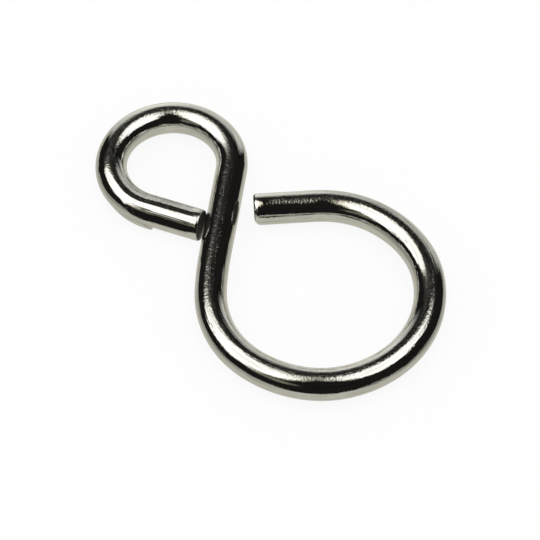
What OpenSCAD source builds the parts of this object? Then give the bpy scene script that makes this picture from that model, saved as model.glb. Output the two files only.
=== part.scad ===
// S hook bent from one length of round plated steel wire: a small closed eye at one end of a
// straight shank and a larger open hook, bent the other way, at the other end.
// It lies flat. X runs from the eye to the hook, Z is up, and the origin is on the surface
// that it lies on, at the middle of its length.

/* [Wire] */
// Diameter of the wire
wire_d = 3; // [2.5:0.1:3.5]
// Length of the shank that is straight, between the eye's bend and the hook's
shank_l = 10.4; // [8:0.1:16]
// Loss of diameter where the wire is stretched round a bend
bend_thin = 0.02; // [0.02:0.01:0.1]

/* [Eye] */
// Inside diameter of the closed eye
eye_inner_d = 8.5; // [7.5:0.1:9.5]
// Angle by which the tail leans off square to the shank, towards the hook
tail_lean = 13; // [8:0.5:18]
// Gap between the tail's cut end and the side of the shank
eye_gap = 0.1; // [0.1:0.05:0.4]
// Rounding of the edge of the tail's cut end
tail_edge = 0.4; // [0.2:0.05:0.6]

/* [Hook] */
// Inside diameter of the open hook
hook_inner_d = 17.2; // [15:0.1:19]
// Radius of the wide bend that leads from the shank into the hook
lead_r = 36; // [24:1:48]
// Angle through which that wide bend turns
lead_sweep = 6; // [2:0.5:8]
// Angle by which the tip leans off square to the shank, towards the hook's bend
tip_lean = 11.5; // [6:0.5:18]
// Opening between the middle of the tip's cut end and the side of the shank
throat = 1.3; // [0.8:0.1:3]
// Rounding of the edge of the tip's cut end
tip_edge = 0.6; // [0.3:0.05:0.8]

/* [Press mark] */
// Height of the ridge that the bending tool left outside the eye, where the tail starts
mark_h = 0.27; // [0.1:0.01:0.4]
// Diameter of that ridge's own round section
mark_d = 2.2; // [1.8:0.1:2.4]
// Angle of the eye over which the ridge fades away
mark_sweep = 42; // [30:1:55]

/* [Hidden] */

$fn = 96;

// The wire is full size where it is straight, a little thinner in the two loops, and half way
// between in the wide bend. Each bend starts and ends this far inside its thicker neighbour.
wire_r = wire_d / 2;
loop_r = wire_r - bend_thin / 2;
lead_wire_r = wire_r - bend_thin / 4;
lap = 0.05;

// Radii of the two loops along the middle of the wire
eye_r = eye_inner_d / 2 + loop_r;
hook_r = hook_inner_d / 2 + loop_r;

// The shank runs between the two loops and touches each on its other side. Seen along the
// shank, the wide bend carries the hook's centre on and a little further off.
lead_on = (lead_r - hook_r) * sin(lead_sweep);
lead_off = (lead_r - hook_r) * (1 - cos(lead_sweep));
centres_along = shank_l + lead_on;
centres_across = eye_r + hook_r + lead_off;
shank_angle = atan2(centres_across, centres_along);

// Both centres lie on the X axis, with the whole length about the origin
overall_l = loop_r + eye_r + norm([centres_along, centres_across]) + hook_r + loop_r;
eye_x = loop_r + eye_r - overall_l / 2;

// Turns of the two loops, and the straight lengths that reach back towards the shank
square_turn = 270;
eye_sweep = square_turn - tail_lean;
hook_sweep = square_turn + tip_lean - lead_sweep;
tail_l = (eye_r * (1 + sin(tail_lean)) - wire_r - eye_gap) / cos(tail_lean);
tip_l = (hook_r * (1 - sin(tip_lean)) + lead_off - wire_r - throat) / cos(tip_lean);

// The ridge is an arc of its own, set off from the eye's centre towards the start of the tail,
// so that it fades into the wire. Its far end is sunk this far under the wire's surface.
mark_sunk = 0.06;
mark_off = (mark_h + mark_sunk) / (1 - cos(mark_sweep));
mark_r = eye_r + loop_r + mark_h - mark_d / 2 - mark_off;

// A rounded edge is drawn in steps of this angle
edge_step = 15;

// Straight wire along X, with what follows it set on its far end
module straight(length) {
    rotate([0, 90, 0]) cylinder(h = length, r = wire_r);
    translate([length, 0, 0]) children();
}

// Wire that leaves along X and bends to the left, with what follows it set on its far end
module bend(r, sweep, section_r) {
    lap_angle = asin(lap / r);
    translate([0, r, 0]) {
        rotate([0, 0, -90 - lap_angle]) rotate_extrude(angle = sweep + 2 * lap_angle)
            translate([r, 0]) circle(r = section_r);
        rotate([0, 0, sweep]) translate([0, -r, 0]) children();
    }
}

// Straight wire along X that ends in a square cut with a rounded edge
module tip() {
    rotate([0, 90, 0]) rotate_extrude() polygon(concat(
        [[0, 0], [wire_r, 0]],
        [for (a = [0 : edge_step : 90])
            [wire_r - tip_edge * (1 - cos(a)), tip_l - tip_edge * (1 - sin(a))]],
        [[0, tip_l]]
    ));
}

// Straight wire along X, sheared slantwise so that its end lies along the shank
module tail() {
    intersection() {
        rotate([0, 90, 0]) cylinder(h = tail_l + wire_d, r = wire_r);
        translate([tail_l, 0, 0]) rotate([0, 0, tail_lean]) rotate([0, -90, 0])
            rotate_extrude() shear_profile();
    }
}

// Half section of the space that the shear leaves, with its flat face at zero height: the edge
// is round up to the last angle, and runs on from there in a wide cone
module shear_profile() {
    last_angle = 60;
    cone_h = tail_l + wire_d;
    rim = [for (a = [0 : edge_step : last_angle])
        [wire_r - tail_edge * (1 - sin(a)), tail_edge * (1 - cos(a))]];
    rim_end = rim[len(rim) - 1];
    polygon(concat([[0, 0]], rim,
        [[rim_end[0] + cone_h / tan(last_angle), rim_end[1] + cone_h], [0, rim_end[1] + cone_h]]));
}

// Ridge on the outside of the eye, highest at its flat shoulder just past the start of the tail
module press_mark() {
    shoulder_angle = asin(2 * lap / mark_r);
    translate([0, eye_r, 0]) rotate([0, 0, eye_sweep - 90]) translate([mark_off, 0, 0])
        rotate([0, 0, -mark_sweep]) rotate_extrude(angle = mark_sweep + shoulder_angle)
            translate([mark_r, 0]) circle(d = mark_d);
}

module hook_wire() {
    color([0.74, 0.73, 0.7])
    translate([eye_x, 0, wire_r]) rotate([0, 0, -shank_angle]) translate([0, eye_r, 0]) {
        straight(shank_l)
            bend(lead_r, lead_sweep, lead_wire_r)
            bend(hook_r, hook_sweep, loop_r)
            tip();
        rotate([0, 0, 180]) {
            bend(eye_r, eye_sweep, loop_r) tail();
            press_mark();
        }
    }
}

hook_wire();
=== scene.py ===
from math import ceil, cos, hypot, pi, radians, sin, sqrt, tan

import bpy
from mathutils import Matrix, Vector


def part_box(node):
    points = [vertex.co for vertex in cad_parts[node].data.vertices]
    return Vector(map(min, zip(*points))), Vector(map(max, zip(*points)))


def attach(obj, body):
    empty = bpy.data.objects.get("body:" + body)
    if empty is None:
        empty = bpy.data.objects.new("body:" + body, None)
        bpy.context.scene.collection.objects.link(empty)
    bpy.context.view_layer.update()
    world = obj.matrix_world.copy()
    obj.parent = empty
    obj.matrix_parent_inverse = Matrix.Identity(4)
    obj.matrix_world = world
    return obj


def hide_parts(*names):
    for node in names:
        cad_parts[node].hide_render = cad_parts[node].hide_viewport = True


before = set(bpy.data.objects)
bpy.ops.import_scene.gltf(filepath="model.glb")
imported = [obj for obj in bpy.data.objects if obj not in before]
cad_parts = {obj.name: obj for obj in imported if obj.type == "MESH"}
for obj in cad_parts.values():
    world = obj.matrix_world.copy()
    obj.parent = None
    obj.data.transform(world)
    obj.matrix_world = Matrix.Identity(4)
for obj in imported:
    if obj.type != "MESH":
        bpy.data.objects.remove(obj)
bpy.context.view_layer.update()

# The wire
# One length of round steel wire, cut off by shears at both ends, bent cold round two pegs and then
# nickel plated in a barrel. The eye's tail stops just short of the shank, the hook's tip further off,
# and the bending tool left a low ridge outside the eye, with a sharp shoulder where the tail starts.

# Lengths of the wire are in millimetres, and its finished mesh is in metres. It is a little thinner
# where it is bent, and the radii of the bends are to its centre line.
MM = 0.001
wire_r = 1.5
bent_r = 1.49
eye_r = 4.25 + bent_r
hook_r = 8.6 + bent_r
lead_r = 36
shank_l = 10.4
lead_turn = radians(6)
tail_lean = radians(13)
tip_lean = radians(11.5)
eye_gap = 0.25
throat = 1.3

eye_turn = radians(270) - tail_lean
hook_turn = radians(270) + tip_lean - lead_turn
lead_off = (lead_r - hook_r) * (1 - cos(lead_turn))
tail_l = (eye_r * (1 + sin(tail_lean)) - wire_r - eye_gap) / cos(tail_lean)
tip_l = (hook_r * (1 - sin(tip_lean)) + lead_off - wire_r - throat) / cos(tip_lean)

# The centre line from the tail's cut end to the tip's, as the length of each stretch and the radius
# that it bends at: plus to the left, minus to the right.
stretches = [
    (tail_l, 0),
    (eye_r * eye_turn, -eye_r),
    (shank_l, 0),
    (lead_r * lead_turn, lead_r),
    (hook_r * hook_turn, hook_r),
    (tip_l, 0),
]
wire_l = sum(length for length, bend in stretches)


def left_of(heading):
    """The unit vector on the left of a heading."""
    return Vector((-sin(heading), cos(heading)))


def walk(distance):
    """The even line's point at a distance from the tail's end, the heading, and the bend's centre."""
    point = Vector((0, 0))
    heading = 0
    for number, (length, bend) in enumerate(stretches):
        last = distance <= length or number == len(stretches) - 1
        part = distance if last else length
        centre = point + left_of(heading) * bend
        if bend:
            heading += part / bend
            point = centre - left_of(heading) * bend
        else:
            point = point - left_of(heading + pi / 2) * part
        if last:
            return point, heading, centre
        distance -= length


# The frame's box gives the two loops their places: their centres lie on the X axis. Each centre is
# found from a place in its bend, one radius away from the straight end.
low_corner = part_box("hook_wire")[0]
eye_x = low_corner[0] / MM + bent_r + eye_r
eye_centre = walk(tail_l + eye_r)[2]
hook_centre = walk(wire_l - tip_l - hook_r)[2]
across = hook_centre - eye_centre
lie = Matrix(((across.x, across.y), (-across.y, across.x))) * (1 / across.length)

# The bends are a little uneven: how far the wire runs to the left of its even line, at distances.
uneven = [
    (36.2, 0),
    (40.6, -0.03),
    (47.3, 0.03),
    (51.5, 0),
    (56.9, 0.06),
    (62.5, -0.03),
    (69, 0),
    (75.8, 0.03),
    (80.5, -0.02),
    (85.3, 0.01),
    (89.5, -0.03),
    (94.2, 0),
]


def strays(distance):
    """How far the wire runs to the left of its even line at that distance from the tail's end."""
    for (start, before), (end, after) in zip(uneven, uneven[1:]):
        if start < distance < end:
            share = (1 - cos(pi * (distance - start) / (end - start))) / 2
            return before + (after - before) * share
    return 0


# The bending tool raised a ridge on the lower outer side of the eye. It ends in a sharp shoulder that
# slants across the wire down to the side where it stops slanting. Angles round the wire are from its
# left, which is the eye's outside, and upwards.
ridge_h = 0.27
ridge_r = 0.85
ridge_side = radians(-34)
ridge_half = radians(90)
ridge_turn = radians(42)
ridge_sunk = 0.06
ridge_fillet = 0.03
shoulder_l = 0.12
shoulder_slant = 2.2
shoulder_side = radians(-6)
shoulder_stops = radians(-26)

# The tool gripped the tail up to that shoulder and left four shallow flats along its top and upper
# sides, which start a little way from its end. Each has the side that it faces, how much that twists
# near the eye, its depth, and how far before and past the shoulder's line it fades out.
flat_starts = 0.3
flat_fades = 0.8
flat_half = radians(60)
twist_starts = 4.4
twist_l = 1.4
flats = [
    (radians(41), radians(9), 0.028, shoulder_l),
    (radians(27.5), 0, 0.05, shoulder_l),
    (radians(92), 0, 0.051, 1.5),
    (radians(115), 0, 0.1, 2),
]


def half_turns(angle):
    """That angle as one from half a turn back to half a turn on."""
    return (angle + pi) % (2 * pi) - pi


def held(share):
    """That share, held between 0 and 1."""
    return min(1, max(0, share))


def shoulder_at(angle):
    """How far from the tail's end the shoulder is, at an angle round the wire."""
    return tail_l + shoulder_slant * (max(angle, shoulder_stops) - shoulder_side)


def ridge_reach(past, angle):
    """The ridge's distance from the wire's centre, at a distance past the shoulder."""
    turned = max(0, past) / eye_r
    fade = (1 - cos(turned)) / (1 - cos(ridge_turn))
    slope = max(0, -past / shoulder_l)
    proud = ridge_h - (ridge_h + ridge_sunk) * max(fade, slope ** 2)
    ridge_off = bent_r + proud - ridge_r
    reach = ridge_r ** 2 - (ridge_off * sin(angle)) ** 2
    return ridge_off * cos(angle) + sqrt(max(0, reach))


def section_r(distance, angle):
    """The wire's radius at that distance from the tail's end, at an angle round it."""
    angle = half_turns(angle)
    radius = bent_r if distance > tail_l else wire_r
    past = distance - shoulder_at(angle)
    if past / eye_r > ridge_turn:
        return radius
    if past > -shoulder_l and abs(angle - ridge_side) < ridge_half:
        ridge = ridge_reach(past, angle - ridge_side)
        radius = (radius + ridge + hypot(radius - ridge, ridge_fillet) - ridge_fillet) / 2
    starts = held((distance - flat_starts) / flat_fades)
    twist = held((distance - twist_starts) / twist_l)
    for side, turn, depth, fades in flats:
        from_flat = abs(angle - side - turn * twist)
        stops = held(0.5 - past / fades / 2)
        if from_flat < flat_half:
            depth = depth * (1 + twist / 2) * min(starts, stops)
            radius = min(radius, (wire_r - depth) / cos(from_flat))
    return radius


# Both ends are cut flat, with an edge that the plating barrel rounded. The tail's cut is a few degrees
# off square, sideways and up, and its rings of points stand square again past a share of the tail.
# The tip's edge is rounder on its lower side, where the shears pressed it, and they left a bevel on
# its top.
tail_edge = 0.22
tail_cut = radians(2.5)
tail_tilt = radians(4.5)
tail_cut_share = 0.8
tip_edge = 0.45
tip_edge_more = 0.2
tip_edge_side = radians(-60)
bevel_side = radians(73)
bevel_half = radians(80)
bevel_l = 0.85
bevel_depth = 0.08


def edge_r(end, angle):
    """How much the edge of a cut end is rounded, at an angle round the wire."""
    if end == "tail":
        return tail_edge
    return tip_edge + tip_edge_more * cos(angle - tip_edge_side)


def bevelled(distance, angle, radius):
    """That radius where the shears' bevel on the tip leaves it."""
    from_bevel = abs(half_turns(angle - bevel_side))
    past = distance - (wire_l - bevel_l)
    if past <= 0 or from_bevel > bevel_half:
        return radius
    return min(radius, (bent_r - bevel_depth * past / bevel_l) / cos(from_bevel))


def end_ring(end, turn, share, angle):
    """A point on the rounded edge of an end, or on its face where share is under 1."""
    edge = edge_r(end, angle)
    depth = edge * (1 - cos(turn))
    distance = depth if end == "tail" else wire_l - depth
    radius = (wire_r if end == "tail" else bent_r) - edge * (1 - sin(turn))
    if end == "tip":
        radius = bevelled(distance, angle, radius)
    return distance, radius * share


def side_ring(distance, angle):
    """A point on the side of the wire."""
    return distance, bevelled(distance, angle, section_r(distance, angle))


# The mesh is rings of points: some across the face of each end, some round its edge, and the rest
# along the wire, closer together at the shoulder.
RING_POINTS = 96
FACE_RINGS = 6
FIRST_RING = 0.02
EDGE_RINGS = 10
RING_STEP = 0.15
FINE_STEP = 0.05
fine_side = radians(75)
fine_start = shoulder_at(shoulder_stops) - shoulder_l
fine_end = shoulder_at(fine_side) + shoulder_l


def spread(start, end, step):
    """Distances from start up to end, evenly spread and about a step apart."""
    count = ceil((end - start) / step)
    return [start + (end - start) * k / count for k in range(count)]


# Each row is the function that gives a point of its ring, and what the function is given.
ring_rows = []
for k in range(FACE_RINGS):
    ring_rows.append((end_ring, "tail", 0, (k + FIRST_RING) / FACE_RINGS))
for k in range(EDGE_RINGS):
    ring_rows.append((end_ring, "tail", radians(90) * k / EDGE_RINGS, 1))
side_places = spread(tail_edge, fine_start, RING_STEP)
side_places += spread(fine_start, fine_end, FINE_STEP)
side_places += spread(fine_end, wire_l - tip_edge - tip_edge_more, RING_STEP)
for place in side_places:
    ring_rows.append((side_ring, place))
for k in range(EDGE_RINGS, -1, -1):
    ring_rows.append((end_ring, "tip", radians(90) * k / EDGE_RINGS, 1))
for k in range(FACE_RINGS - 1, -1, -1):
    ring_rows.append((end_ring, "tip", 0, (k + FIRST_RING) / FACE_RINGS))


def straight_point(row, angle):
    """A surface point on the wire laid out straight: distance along, then left and up."""
    ring, *given = row
    distance, radius = ring(*given, angle)
    return distance, radius * cos(angle), radius * sin(angle)


def bent_point(straight):
    """That point where the bent wire has it, in metres."""
    distance, left, up = straight
    lean = max(0, 1 - distance / (tail_l * tail_cut_share)) ** 2
    cut_off = left * tan(tail_cut) - up * tan(tail_tilt)
    point, heading, centre = walk(distance - cut_off * lean)
    left = left + strays(distance)
    flat = lie @ (point + left_of(heading) * left - eye_centre)
    return (eye_x + flat.x) * MM, flat.y * MM, (wire_r + up) * MM


straight_points = []
for row in ring_rows:
    for k in range(RING_POINTS):
        straight_points.append(straight_point(row, 2 * pi * k / RING_POINTS))

# The bake lays the wire out flat in three lengths side by side, with a disc for each end. A disc
# takes in half of the rounded edge.
LENGTHS = 3
TAIL_DISC = LENGTHS
TIP_DISC = LENGTHS + 1
BAKE_SIDE = 34.8
BAKE_GAP = 0.4
length_l = wire_l / LENGTHS
around_l = 2 * pi * wire_r
disc_rows = FACE_RINGS + EDGE_RINGS // 2
last_row = len(ring_rows) - 1


def point_number(row, turn):
    """The number that a point of a ring has in the mesh."""
    return row * RING_POINTS + turn % RING_POINTS


def bake_place(row, turn, part):
    """Where a point of a ring is in the bake: in a length, or in the disc of an end."""
    distance, left, up = straight_points[point_number(row, turn)]
    if part < LENGTHS:
        across = BAKE_GAP + distance - part * length_l
        above = part * (around_l + BAKE_GAP) + around_l * turn / RING_POINTS
    else:
        across = (part - LENGTHS + 0.5) * (2 * wire_r + BAKE_GAP) + left
        above = LENGTHS * (around_l + BAKE_GAP) + wire_r + BAKE_GAP + up
    return across / BAKE_SIDE, above / BAKE_SIDE


faces = []
bake_places = []


def add_face(corners, part):
    """Adds the face between some points of rings, and where the bake has each of them."""
    faces.append([point_number(row, turn) for row, turn in corners])
    bake_places.extend(bake_place(row, turn, part) for row, turn in corners)


for row in range(last_row):
    part = min(LENGTHS - 1, int(straight_points[point_number(row, 0)][0] / length_l))
    if row < disc_rows:
        part = TAIL_DISC
    if row >= last_row - disc_rows:
        part = TIP_DISC
    for turn in range(RING_POINTS):
        add_face([(row, turn), (row, turn + 1), (row + 1, turn + 1), (row + 1, turn)], part)
add_face([(0, turn) for turn in reversed(range(RING_POINTS))], TAIL_DISC)
add_face([(last_row, turn) for turn in range(RING_POINTS)], TIP_DISC)

# The mesh keeps where each point was on the straight wire, which the finish is drawn by.
wire_mesh = bpy.data.meshes.new("hook_wire_bent")
wire_mesh.from_pydata([bent_point(p) for p in straight_points], [], faces)
wire_mesh.polygons.foreach_set("use_smooth", [True] * len(wire_mesh.polygons))
straight_map = wire_mesh.attributes.new("straight", "FLOAT_VECTOR", "POINT")
straight_map.data.foreach_set("vector", [number for p in straight_points for number in p])
bake_map = wire_mesh.uv_layers.new(name="OFBake")
bake_map.data.foreach_set("uv", [number for place in bake_places for number in place])
wire_mesh.update()
wire = bpy.data.objects.new("hook_wire_bent", wire_mesh)
bpy.context.collection.objects.link(wire)


class Socket:
    """An output of a shader node. Arithmetic with numbers and other sockets adds Math nodes."""

    def __init__(self, tree, output=None):
        self.tree = tree
        self.output = output

    def add(self, kind, settings=None, inputs=None, output=None):
        """Adds a node: its type, the settings that are made first, and its inputs' values or links."""
        node = self.tree.nodes.new("ShaderNode" + kind)
        for name, value in (settings or {}).items():
            setattr(node, name, value)
        for name, value in (inputs or {}).items():
            if isinstance(name, str):
                socket = next(s for s in node.inputs if s.name == name and s.enabled)
            else:
                socket = node.inputs[name]
            if isinstance(value, Socket):
                self.tree.links.new(value.output, socket)
            else:
                socket.default_value = value
        outputs = [s for s in node.outputs if s.enabled and output in (None, s.name)]
        return Socket(self.tree, outputs[0] if outputs else None)

    def math(self, operation, first, second=0.0):
        return self.add("Math", {"operation": operation}, {0: first, 1: second})

    def __add__(self, other):
        return self.math("ADD", self, other)

    __radd__ = __add__

    def __mul__(self, other):
        return self.math("MULTIPLY", self, other)

    __rmul__ = __mul__

    def __sub__(self, other):
        return self.math("SUBTRACT", self, other)

    def __rsub__(self, other):
        return self.math("SUBTRACT", other, self)

    def __abs__(self):
        return self.math("ABSOLUTE", self)

    def axis(self, letter):
        """One number of a vector: its X, Y or Z."""
        return self.add("SeparateXYZ", {}, {0: self}, letter)

    def smooth(self, low, high):
        """0 below low, 1 above high, and a smooth rise between."""
        limits = {"Value": self, "From Min": low, "From Max": high}
        return self.add("MapRange", {"interpolation_type": "SMOOTHSTEP"}, limits)

    def between(self, low, full, fades, high):
        """0 outside low and high, 1 from full to where it fades, and smooth on both sides."""
        return self.smooth(low, full) * (1 - self.smooth(fades, high))

    def mixed(self, first, second):
        """The first colour where this is 0, and the second where it is 1."""
        colours = {"Factor": self, "A": first, "B": second}
        return self.add("Mix", {"data_type": "RGBA"}, colours, "Result")


def new_material(name):
    """An empty material, and a socket that adds nodes to it."""
    material = bpy.data.materials.new(name)
    material.use_nodes = True
    material.node_tree.nodes.clear()
    return material, Socket(material.node_tree)


# The nickel is bright and a little warm, and the barrel left a small pebbled grain on it. Fine lines
# from drawing run along the wire, in a noise that is drawn out 25 times as long. Each noise's scale
# is per millimetre.
nickel, shader = new_material("plated_nickel")
straight = shader.add("Attribute", {"attribute_name": "straight"}, output="Vector")
along = straight.axis("X")
left = straight.axis("Y")
up = straight.axis("Z")
angle = shader.math("ARCTAN2", up, left)
drawn_out = (0.04, 1, 1)
drawn = shader.add("VectorMath", {"operation": "MULTIPLY"}, {0: straight, 1: drawn_out})
grain = shader.add("TexNoise", {}, {"Vector": straight, "Scale": 5.0, "Detail": 2.0}, "Fac")
lines = shader.add("TexNoise", {}, {"Vector": drawn, "Scale": 6.0, "Detail": 2.0}, "Fac")
patches = shader.add("TexNoise", {}, {"Vector": straight, "Scale": 0.9, "Detail": 2.0}, "Fac")
pits = shader.add("TexNoise", {}, {"Vector": straight, "Scale": 7.0, "Detail": 1.0}, "Fac")

# The top is worn, up to a little way from the tip, and hardly anywhere else. The lines are deeper on
# the upper right of the tail and of the tip, seen along the wire. Each place is given by where it
# starts, is full, fades and is gone, round the wire or along it.
worn_side = [radians(turn) for turn in (65, 90, 105, 125)]
lined_side = [radians(turn) for turn in (114, 122, 150, 175)]
unlined = (8, 11, 77, 81)
tip_unworn = 1.0
wear_fades = 0.6
worn_starts = 0.42
worn_full = 0.66
worn_elsewhere = 0.04
top = angle.between(*worn_side)
top = top * (1 - along.smooth(wire_l - tip_unworn - wear_fades, wire_l - tip_unworn))
worn = pits.smooth(worn_starts, worn_full) * (worn_elsewhere + (1 - worn_elsewhere) * top)
lined = angle.between(*lined_side) * (1 - along.between(*unlined))

# Both cut ends are rough, and painted dark, partly as bare steel and partly as a painted reflection
# of the dark shank and shadowed gap that they face. That fades out a tenth of a millimetre up their
# edges.
face_l = 0.02
face_fades = 0.1
cut = 1 - along.between(face_l, face_fades, wire_l - face_fades, wire_l - face_l)

# Each scratch or deep draw line is a groove, with its middle as a distance along the wire and an angle
# round it, its length, and how it slants across the lines.
scratch_half = 0.045
scratch_depth = 0.014
scratches = [
    (80.8, radians(130), 1.5, radians(-62)),
    (49.9, radians(119), 0.7, radians(2)),
    (50.6, radians(124), 0.4, radians(-8)),
    (82.9, radians(60), 0.6, radians(4)),
    (5.1, radians(-26), 1.2, radians(66)),
    (3.3, radians(51), 4.6, radians(0.5)),
    (4.6, radians(124), 9, radians(0.4)),
    (5.4, radians(133), 10, radians(-0.3)),
    (85.5, radians(116), 13, radians(0.3)),
    (86.5, radians(126), 16, radians(-0.2)),
]
groove = 0.0
for middle, side, length, slant in scratches:
    past = along - middle
    beside = (angle - side) * wire_r
    ahead = abs(past * cos(slant) + beside * sin(slant))
    off = abs(beside * cos(slant) - past * sin(slant))
    ends = 1 - ahead.smooth(length / 4, length / 2)
    groove = groove + ends * (1 - off.smooth(0, scratch_half))

# Heights of the relief, in millimetres: the grain, which is coarser on the worn top and the cut ends,
# and the lines, which are deeper where the wire is lined.
grain_h = 0.006
top_grain_h = 0.015
cut_grain_h = 0.05
line_h = 0.013
deep_line_h = 0.045
relief = grain * (grain_h + top_grain_h * top + cut_grain_h * cut)
relief = relief + lines * (line_h + deep_line_h * lined) - groove * scratch_depth
bump = shader.add("Bump", {}, {"Height": relief, "Strength": 1.0, "Distance": MM}, "Normal")

# The plate's colour drifts in patches, and is darker and browner in streaks along the lines. It is
# duller where it is worn, scratched or cut. The cut ends are mostly a dark diffuse, partly bare steel
# and partly a painted reflection of the dark shank and shadowed gap, painted heavier towards their
# tops.
nickel_tone = (0.70, 0.69, 0.655, 1)
patch_tone = (0.74, 0.73, 0.69, 1)
streak_tone = (0.6, 0.59, 0.54, 1)
steel_and_painted_dark_tone = (0.03, 0.028, 0.026, 1)
shine = 0.03
duller = 0.2
least_steel_and_painted_dark = 0.5
more_steel_and_painted_dark = 0.45
tone = patches.smooth(0.3, 0.7).mixed(nickel_tone, patch_tone)
tone = lines.smooth(0.52, 0.66).mixed(tone, streak_tone)
plate = shader.add("BsdfPrincipled", {}, {
    "Base Color": tone,
    "Metallic": 1.0,
    "Roughness": shine + duller * worn + duller * groove + duller * cut,
    "Normal": bump,
})
# Painted reflection: the cut ends' dark diffuse, partly bare steel, stands in for the dark shank and
# gap that they face, and is heavier towards their tops.
steel_and_painted_dark = shader.add("BsdfDiffuse", {}, {"Color": steel_and_painted_dark_tone})
steel_and_painted_dark_share = cut * (least_steel_and_painted_dark + more_steel_and_painted_dark * (up + grain).smooth(-0.7, 0.1))
surface = shader.add("MixShader", {}, {"Fac": steel_and_painted_dark_share, 1: plate, 2: steel_and_painted_dark})
shader.add("OutputMaterial", {}, {"Surface": surface})
wire_mesh.materials.append(nickel)
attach(wire, "root")
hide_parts("hook_wire")


# The camera
# A long lens looks down on the hook from beyond its eye's right side, as the photograph does.
# Its distance and what it aims at are in metres, like everything in the studio.
camera_turn = radians(49.134)
camera_height = radians(53.786)
camera_roll = radians(-2.037)
camera_reach = 0.27894
aim = Vector((0.003047, -0.001574, 0.0015))
camera_data = bpy.data.cameras.new("camera")
camera_data.sensor_width = 36
camera_data.lens = 201.24
camera = bpy.data.objects.new("camera", camera_data)
towards = Vector((
    sin(camera_turn) * cos(camera_height),
    -cos(camera_turn) * cos(camera_height),
    sin(camera_height),
))
camera.matrix_world = (
    Matrix.Translation(aim + towards * camera_reach)
    @ Matrix.Rotation(camera_turn, 4, "Z")
    @ Matrix.Rotation(radians(90) - camera_height, 4, "X")
    @ Matrix.Rotation(camera_roll, 4, "Z")
)
bpy.context.collection.objects.link(camera)
bpy.context.scene.camera = camera


# The studio
# The hook lies on a white table above a pale sheet, under two soft lamps with a dark gap between
# them, with a pale card low behind it and dark cloth all round. Its metal mirrors all of these.
def plate_of(name, corners, height):
    """A flat piece of the studio, turned with the camera: its X runs right and its Y away."""
    (left, near), (right, far) = corners
    mesh = bpy.data.meshes.new(name)
    places = [(left, near, 0), (right, near, 0), (right, far, 0), (left, far, 0)]
    mesh.from_pydata(places, [], [(0, 1, 2, 3)])
    piece = bpy.data.objects.new(name, mesh)
    piece.location.z = height
    piece.rotation_euler.z = camera_turn
    bpy.context.collection.objects.link(piece)
    return piece


def seen_by(piece, camera=False, glossy=False, diffuse=False, shadow=False):
    """Which rays meet a piece of the studio."""
    piece.visible_camera = camera
    piece.visible_glossy = glossy
    piece.visible_diffuse = diffuse
    piece.visible_shadow = shadow
    piece.visible_transmission = camera
    piece.visible_volume_scatter = False


def seen_directly(shader):
    """1 for the rays that show a background: camera rays, and those mirrored or let through."""
    kinds = ("Is Camera Ray", "Is Glossy Ray", "Is Transmission Ray")
    camera_ray, glossy_ray, through_ray = [shader.add("LightPath", {}, {}, kind) for kind in kinds]
    return shader.math("MINIMUM", camera_ray + glossy_ray + through_ray, 1.0)


def lit_material(name, colour, strength=1.0, shade=None):
    """A surface that gives off light, and less of it where the shade, from 0 to 1, is low."""
    material, shader = new_material(name)
    shown = (*colour, 1)
    if shade:
        place = shader.add("TexCoord", {}, {}, "Generated")
        shown = shade(place.axis("X"), place.axis("Y")).mixed((0, 0, 0, 1), shown)
    glow = shader.add("Emission", {}, {"Color": shown, "Strength": strength})
    shader.add("OutputMaterial", {}, {"Surface": glow})
    return material


# The table takes the hook's shadow. What the metal mirrors is the sheet below it, not the table.
table_half = 2.0
table_white = 0.9
table = plate_of("table", ((-table_half, -table_half), (table_half, table_half)), 0)
table_finish, shader = new_material("white_table")
paint = shader.add("BsdfDiffuse", {}, {"Color": (0.92, 0.92, 0.92, 1)})
glow = shader.add("Emission", {}, {"Color": (1, 1, 1, 1), "Strength": 1.0})
shown = shader.add("MixShader", {}, {"Fac": table_white * seen_directly(shader), 1: paint, 2: glow})
shader.add("OutputMaterial", {}, {"Surface": shown})
table.data.materials.append(table_finish)
seen_by(table, camera=True, diffuse=True, shadow=True)

sheet_middle = 0.64
sheet = plate_of("sheet", ((-0.6, -0.36), (0.34, 0.9)), -0.09)


def sheet_shade(side, away):
    """The sheet is brighter at its far side, and less bright to both sides of its middle line."""
    off = abs(side - sheet_middle)
    return (0.6 + 0.4 * away.smooth(0.3, 0.8)) * (1 - 0.4 * off.smooth(0.08, 0.3))


sheet.data.materials.append(lit_material("pale_sheet", (1, 0.99, 0.88), shade=sheet_shade))
seen_by(sheet, glossy=True)

# The two lamps hang level with their cloths facing down, and a dim card hangs at the near and at the
# far side of the left one, each a step higher than the last. Their outlines are warmer in colour,
# and round at the corners.
hung_height = 0.6
hung_step = 0.01
hung_rounding = 1.2
hung_rim = (1, 0.93, 0.68, 1)


def hung_material(name, colour, strength, soft):
    """A rounded piece that gives off light. Its soft outline lets through what is above it."""
    material, shader = new_material(name)
    place = shader.add("TexCoord", {}, {}, "Generated")
    reach = 0
    for letter in "XY":
        off = place.axis(letter) * 2 - 1
        reach = reach + shader.math("POWER", off * off, hung_rounding)
    shown = reach.smooth(0.9 - soft, 1.0).mixed((*colour, 1), hung_rim)
    glow = shader.add("Emission", {}, {"Color": shown, "Strength": strength})
    clear = shader.add("BsdfTransparent", {}, {"Color": (1, 1, 1, 1)})
    faded = shader.add("MixShader", {}, {"Fac": reach.smooth(1 - soft, 1.0), 1: glow, 2: clear})
    shader.add("OutputMaterial", {}, {"Surface": faded})
    return material


lamp_finish = hung_material("lamp_cloth", (1, 1, 1), 1.5, 0.26)
warm_finish = hung_material("warm_card", (1, 0.95, 0.76), 0.2, 0.6)
dim_finish = hung_material("dim_card", (1, 1, 0.97), 0.045, 0.8)

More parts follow.
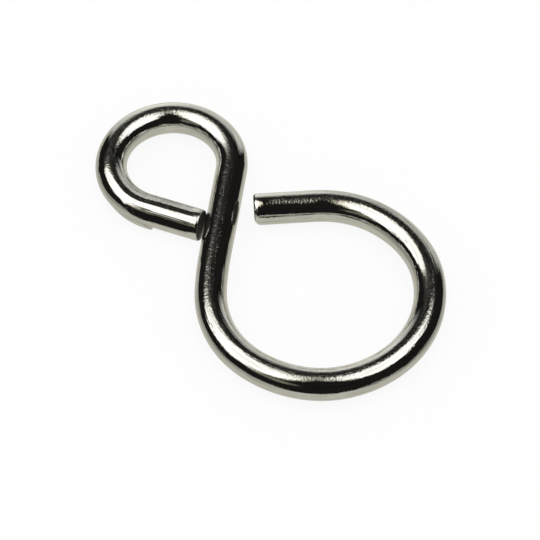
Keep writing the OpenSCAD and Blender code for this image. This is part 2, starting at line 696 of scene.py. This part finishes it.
# Each hung piece is given by where its middle is, its size, how it is turned, and its finish.
hung = [
    ("left_lamp", (-0.68, 0.065), (1.32, 0.99), radians(-7.5), lamp_finish),
    ("right_lamp", (0.362, 0.0), (0.68, 0.73), 0, lamp_finish),
    ("near_card", (-0.72, -0.76), (0.9, 0.8), radians(-45), warm_finish),
    ("far_card", (-0.4, 0.56), (1.1, 0.36), radians(-16), dim_finish),
]
studio = [table, sheet]
for name, (side, away), (wide, deep), turn, finish in hung:
    piece = plate_of(name, ((-wide / 2, -deep / 2), (wide / 2, deep / 2)), 0)
    piece.matrix_world = (
        Matrix.Rotation(camera_turn, 4, "Z")
        @ Matrix.Translation((side, away, hung_height + hung_step * len(studio)))
        @ Matrix.Rotation(turn, 4, "Z")
    )
    piece.data.materials.append(finish)
    seen_by(piece, glossy=True, diffuse=True)
    studio.append(piece)

# The pale card stands upright behind the hook, from a little below the table's level.
card_away = 1.2
card = plate_of("card", ((-0.8, -0.25), (1.5, 1.0)), 0)
card.matrix_world = (
    Matrix.Rotation(camera_turn, 4, "Z")
    @ Matrix.Translation((0, card_away, 0))
    @ Matrix.Rotation(radians(90), 4, "X")
)


def card_shade(side, up):
    """The card is brightest low down and a little left of the middle, and fades at both sides."""
    bright = side.smooth(0.1, 0.24) * (1 - side).smooth(0.58, 0.68)
    ends = side.smooth(0, 0.1) * (1 - side).smooth(0, 0.2)
    return (0.66 + 0.34 * bright) * ends * (1 - up).smooth(0.05, 0.6)


card.data.materials.append(lit_material("pale_card", (1, 1, 0.95), shade=card_shade))
seen_by(card, glossy=True)

# The dark cloth is a large ball round everything.
cloth_r = 3.0
bpy.ops.mesh.primitive_uv_sphere_add(segments=48, ring_count=24, radius=cloth_r)
cloth = bpy.context.object
cloth.name = "dark_cloth"
cloth.data.materials.append(lit_material("dark_cloth", (1, 0.97, 0.92), 0.012))
seen_by(cloth, glossy=True)

# The air lights the hook evenly, and shows white.
air_level = 0.8
world = bpy.data.worlds.new("studio")
world.use_nodes = True
world.node_tree.nodes.clear()
shader = Socket(world.node_tree)
level = air_level + (1 - air_level) * seen_directly(shader)
air = shader.add("Background", {}, {"Color": (1, 1, 1, 1), "Strength": level})
shader.add("OutputWorld", {}, {"Surface": air})
bpy.context.scene.world = world
bpy.context.scene.view_settings.view_transform = "Standard"
